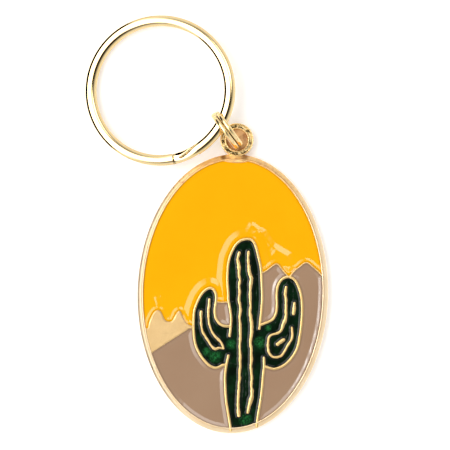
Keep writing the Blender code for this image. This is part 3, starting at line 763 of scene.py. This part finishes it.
def enamels():
    """The six fillings and the bare hill."""
    pts, tris, owners = arrangement()
    trees = skin_walls()
    brown = enamel("brown enamel", (0.362, 0.231, 0.145), (0.336, 0.208, 0.128))
    yellow = enamel("yellow enamel", (0.95, 0.428, 0.003), (0.93, 0.406, 0.002))
    green = green_enamel()
    satin = gold("sandblasted gold", (0.7, 0.482, 0.226), (0.645, 0.432, 0.192), 0.5, grain=0.5)
    cells = [("yellow_sky", "sky_cell", yellow, YELLOW_SKIN, "yellow_sky_enamel", "yellow_enamel"),
             ("inner_hill", "inner_cell", brown, BROWN_SKIN, "inner_hill_enamel", "brown_enamel"),
             ("right_hill", "right_cell", brown, BROWN_SKIN, "right_hill_enamel", "brown_enamel"),
             ("left_hill", "left_cell", brown, BROWN_SKIN, "left_hill_enamel", "brown_enamel"),
             ("arm_gap_hill", "gap_cell", brown, BROWN_SKIN, "arm_gap_enamel", "brown_enamel"),
             ("cactus_fill", "cactus", green, GREEN_SKIN, "cactus_enamel", "green_enamel"),
             ("bare_gold_hill", "hill", satin, HILL_SKIN, "medallion_plate", "struck_gold")]

    # Painted shade along the walls: 1 at a wall, fading out about 0.4 mm away.
    def painted_wall_shade(p):
        return step_down(trees["all"].find((p.x, p.y, 0.0))[2], 0.02, 0.4)

    for name, cell, mat, skin_shape, node, slot in cells:
        mine = largest_island([t for t, own in zip(tris, owners) if in_cell(own, cell)])
        fill = filled_cell(name, pts, mine, mat,
                           lambda x, y: skin_height(x, y, trees, skin_shape, name == "yellow_sky"))
        piece(fill, "medallion", node)
        if mat != satin:
            mark(fill, "edge", painted_wall_shade)


# ---------------------------------------------------------------- eye ring
def turned(section, steps, shake):
    """A section turned round the eye's centre; shake adds a height to point i at the angle a."""
    rings = []
    for k in range(steps):
        a = 2 * math.pi * k / steps
        c, s = math.cos(a), math.sin(a)
        rings.append([(EYE.x + r * c, EYE.y + r * s, z + shake(i, a)) for i, (r, z) in enumerate(section)])
    return skin(rings, capped=False)


def eye_band():
    """Flat ring with an uneven polished bead on each edge and a sunk groove between them."""
    r0, r1, z0, z1 = EYE_HOLE_R, EYE_R, EYE_Z0, EYE_Z1
    floor = z1 - GROOVE_DEPTH
    section = [(r0 - 0.1, z0 + 0.08), (r0 - 0.15, z0 + 0.2), (r0, z1 - 0.16), (r0 + 0.03, z1 - 0.06),
               (r0 + 0.09, z1 - 0.01), (r0 + 0.16, z1), (r0 + 0.23, z1 - 0.03), (r0 + 0.28, z1 - 0.1),
               (r0 + 0.3, floor), (r1 - 0.32, floor), (r1 - 0.3, z1 - 0.12), (r1 - 0.25, z1 - 0.04),
               (r1 - 0.18, z1), (r1 - 0.1, z1 - 0.02), (r1 - 0.03, z1 - 0.08), (r1, z1 - 0.2),
               (r1, z0 + 0.2), (r1 - 0.06, z0 + 0.08), (r1 - 0.18, z0), (r0 + 0.18, z0)]

    def uneven(i, a):
        if not 3 < i < 15:
            return 0.0
        bead = 0.7 if i < 9 else 4.2
        return 0.03 * noise.noise(Vector((math.cos(a) * 6, math.sin(a) * 6, bead)))

    polished = gold("eye gold", (0.97, 0.76, 0.42), (0.9, 0.66, 0.33), 0.2)
    return mesh_object("eye_ring_band", *turned(section, 220, uneven), polished, sharp=70)


def eye_groove():
    """Dark grained filling of the groove."""
    r0, r1 = EYE_HOLE_R, EYE_R
    floor = EYE_Z1 - GROOVE_DEPTH
    section = [(r0 + 0.27, floor - 0.1), (r0 + 0.28, floor + 0.03), (r0 + 0.35, floor + 0.1),
               (r0 + 0.42, floor + 0.13), (r1 - 0.43, floor + 0.13), (r1 - 0.37, floor + 0.1),
               (r1 - 0.29, floor + 0.03), (r1 - 0.28, floor - 0.1)]

    def grains(i, a):
        if not 0 < i < 7:
            return 0.0
        return 0.16 * noise.noise(Vector((math.cos(a) * 13, math.sin(a) * 13, i * 0.8)))

    grained = rough_gold("grained eye gold", (1900.0, 2.0, 0.44, 0.56),
                         ((0.09, 0.06, 0.015), (0.9, 0.72, 0.38)), 0.35, (5200.0, 0.6, 0.00004))
    return mesh_object("eye_groove", *turned(section, 260, grains), grained, sharp=80)


def eye_hole_shade_sheet():
    """Painted shade in the hole: a thin brown disc cut by a slot that is open to one side for the connector.
    """
    r = EYE_HOLE_R - 0.05
    near, far = SHEET_OFFSET - SHEET_SLOT, SHEET_OFFSET + SHEET_SLOT
    along = Vector((SHEET_ACROSS.y, -SHEET_ACROSS.x))
    start, stop = -math.pi - math.asin(near / r), math.pi - math.asin(far / r)
    arc_steps = 48
    border = []
    for k in range(arc_steps + 1):
        a = start + (stop - start) * k / arc_steps
        border.append((r * math.cos(a), r * math.sin(a)))
    border += [(SHEET_END, far), (SHEET_END, near)]
    loop = [EYE + along * f + SHEET_ACROSS * t for f, t in border]
    # Brown painted shade that stands for the shaded inside of the eye's hole.
    hole_shade = rough_gold("painted eye hole shade", (700.0, 3.0, 0.4, 0.62),
                            ((0.78, 0.47, 0.22), (0.42, 0.19, 0.08)), 0.5, (2400.0, 0.5, 0.00003))
    faces = skin([[(p.x, p.y, EYE_Z0 + z) for p in loop] for z in SHEET_Z])
    return mesh_object("eye_hole_shade_sheet", *faces, hole_shade, sharp=30)


def eye_neck(rim):
    """Small brazed neck that runs from under the eye down to the rim's lip."""
    middle = Vector((sum(x for x, _ in NECK), sum(y for _, y in NECK))) / len(NECK)
    border = smooth(NECK + NECK[:1], 0.12)[:-1]
    rings = []
    for inset, z in NECK_LAYERS:
        loop = []
        for p in border:
            q = p + (middle - p).normalized() * inset
            slope = min(max((q.y - 21.95) * 0.34, 0.0), 0.36)
            loop.append((q.x, q.y, z - slope if z > 1.7 else z))
        rings.append(loop)
    return mesh_object("eye_neck", *skin(rings), rim, sharp=60)


# ---------------------------------------------------------------- wound rings
def wire_section(quarter, hw, ht):
    """Closed wire section from its upper right quarter, given top to side as shares of the half sizes."""
    right = quarter + [(r, -z) for r, z in quarter[-2::-1]]
    return [(r * hw, z * ht) for r, z in right + [(-r, z) for r, z in right[-2:0:-1]]]


def off_crease(r, deg, winding):
    """Distance across the wire from the slanted crease, at an angle past the crossover's start."""
    return r + winding.wire / 2 * (deg - winding.jog / 3) / (winding.jog * 5 / 7)


def wound_ring(name, winding, quarter, step, pose, mat, crease):
    """Wire wound twice round, with a crossover and its slanted crease between the two cut ends."""
    radius, wire, coil, jog_at, jog = winding
    hw = wire / 2
    section = wire_section(quarter, hw, coil / 2)
    start, total = jog_at + jog - 360.0, 720.0 - jog
    count = round(total / step)
    rings = []
    for k in range(count + 1):
        deg = start + total * k / count
        f = min(max((deg - jog_at) / jog, 0.0), 1.0)
        level = (f * f * (3 - 2 * f) - 0.5) * (coil + COIL_GAP)
        a = math.radians(deg)
        loop = []
        for r, z in section:
            if crease and z > 0 and CREASE_SPAN[0] < deg - jog_at < CREASE_SPAN[1]:
                across = off_crease(r, deg - jog_at, winding) / CREASE_W
                z -= crease * math.exp(-across * across)
            flat = radius - hw + r
            loop.append(pose @ Vector((flat * math.cos(a), flat * math.sin(a), z + level)))
        rings.append(loop)
    ring = mesh_object(name, *skin(rings), mat, sharp=50)
    back = pose.inverted()
    # Painted shade between the coils, at the cut end and along the slanted crease.
    mark(ring, "crease", lambda p: painted_coil_shade(back @ p, winding))
    return ring


def painted_coil_shade(p, winding):
    """Painted shade at a place in a ring's own frame: 1 between the coils, less at the cut end and the
    crease.
    """
    radius, wire, coil, jog_at, jog = winding
    middle = radius - wire / 2
    deg = (math.degrees(math.atan2(p.y, p.x)) - jog_at) % 360.0
    between = math.exp(-(p.z / (0.12 * coil)) ** 2) if deg > jog else 0.0
    end = math.exp(-((math.radians(deg) * middle - 0.12) / 0.2) ** 2)
    slant = 0.0
    if 0.2 * jog < deg < jog:
        slant = math.exp(-(off_crease(math.hypot(p.x, p.y) - middle, deg, winding) / 0.09) ** 2)
    return min(max(between, 0.65 * end, 0.6 * slant), 1.0)


def connector():
    """Small ring standing upright on its edge, its plane along the heading."""
    warm = wound_gold("connector gold", (0.97, 0.75, 0.41), (0.92, 0.69, 0.33), 0.2, 0.2)
    quarter = [(math.sin(math.radians(a)) ** 0.9, math.cos(math.radians(a)) ** 0.9) for a in range(0, 90, 9)]
    quarter.append((1.0, 0.0))
    turn = Matrix.Rotation(math.radians(LINK_HEADING), 4, "Z") @ Matrix.Rotation(math.radians(90), 4, "X")
    pose = Matrix.Translation((LINK_X, LINK_Y, LINK.radius)) @ turn
    return wound_ring("connector_coil", LINK, quarter, 3.0, pose, warm, 0.0)


def key_ring():
    """Large ring leaning on the connector, its far side on the table."""
    bright = wound_gold("ring gold", (0.97, 0.76, 0.42), (0.93, 0.7, 0.34), 0.06, 0.1)
    lean, heading = math.radians(RING_LEAN), math.radians(RING_HEADING)
    height = RING.radius * math.sin(lean) + (RING.coil + COIL_GAP / 2) * math.cos(lean)
    axis = Vector((math.sin(heading), -math.cos(heading), 0.0))
    pose = Matrix.Translation((RING_X, RING_Y, height)) @ Matrix.Rotation(lean, 4, axis)
    return wound_ring("key_ring_coil", RING, KEY_WIRE, 1.0, pose, bright, CREASE_DEPTH)


# ---------------------------------------------------------------- stage
def light_tent():
    """A soft tent, dark straight above, with softboxes as bright patches and one panel as a dark patch."""
    world = bpy.data.worlds.new("light tent")
    bpy.context.scene.world = world
    w = Nodes(world)
    direction = w.coord.outputs["Generated"]
    height = w.axes(direction)["Z"]
    level = w.vector_math("NORMALIZE", w.vector_math("MULTIPLY", direction, (1.0, 1.0, 0.0)))
    total = w.ramp(height, TENT)
    for heading, half, near, far, power, soft in SOFTBOXES:
        a = math.radians(heading)
        toward = w.vector_math("DOT_PRODUCT", level, (math.cos(a), math.sin(a), 0.0))
        edge = math.cos(math.radians(half))
        across = w.ramp(toward, ((0.0, 0.0), (max(edge - soft, 0.0), 0.0), (edge + soft, 1.0)))
        lo, hi = math.cos(math.radians(far)), math.cos(math.radians(near))
        up = w.ramp(height, ((0.0, 0.0), (lo - SOFT_FAR, 0.0), (lo + SOFT_FAR, 1.0),
                             (hi - SOFT_NEAR, 1.0), (hi + SOFT_NEAR, 0.0)))
        total = w.math("ADD", total, w.math("MULTIPLY", w.math("MULTIPLY", across, up), power))
    background = w.tree.nodes["Background"]
    w.link(total, background.inputs["Color"])
    background.inputs["Strength"].default_value = 1.0


def table():
    """White table that glows faintly, so that the picture's ground stays pale."""
    h = TABLE_HALF
    mesh = bpy.data.meshes.new("table_top")
    mesh.from_pydata([(-h, -h, 0), (h, -h, 0), (h, h, 0), (-h, h, 0)], [], [(0, 1, 2, 3)])
    white = bpy.data.materials.new("white table")
    white.use_nodes = True
    bsdf = white.node_tree.nodes["Principled BSDF"]
    bsdf.inputs["Base Color"].default_value = (0.93, 0.93, 0.93, 1.0)
    bsdf.inputs["Roughness"].default_value = 0.8
    bsdf.inputs["Emission Color"].default_value = (1.0, 0.97, 0.94, 1.0)
    bsdf.inputs["Emission Strength"].default_value = 0.24
    mesh.materials.append(white)
    top = bpy.data.objects.new("table_top", mesh)
    top.location.z = -0.00002
    bpy.context.scene.collection.objects.link(top)


def camera():
    """Long lens straight above, rolled a little."""
    cam = bpy.data.cameras.new("camera")
    cam.sensor_width = SENSOR
    cam.lens = SENSOR * CAMERA_UP / VIEW_WIDTH
    obj = bpy.data.objects.new("camera", cam)
    obj.location = (CAMERA_X, CAMERA_Y, CAMERA_UP + FACE_UP)
    obj.rotation_euler = (0.0, 0.0, math.radians(CAMERA_ROLL))
    bpy.context.scene.collection.objects.link(obj)
    bpy.context.scene.camera = obj
    bpy.context.scene.view_settings.view_transform = "Standard"


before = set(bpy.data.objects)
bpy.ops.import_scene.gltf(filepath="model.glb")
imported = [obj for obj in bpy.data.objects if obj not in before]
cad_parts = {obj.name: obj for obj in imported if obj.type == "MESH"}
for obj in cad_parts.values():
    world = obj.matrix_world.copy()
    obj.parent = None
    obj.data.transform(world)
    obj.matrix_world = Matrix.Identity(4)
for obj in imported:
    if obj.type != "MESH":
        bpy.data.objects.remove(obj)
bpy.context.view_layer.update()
rim = rim_gold()
medallion_metal(rim)
enamels()
for obj in (eye_band(), eye_groove(), eye_hole_shade_sheet(), eye_neck(rim)):
    piece(obj, "medallion", "eye_ring")
piece(connector(), "connector", "connector_ring")
piece(key_ring(), "key_ring", "split_ring")
table()
light_tent()
camera()
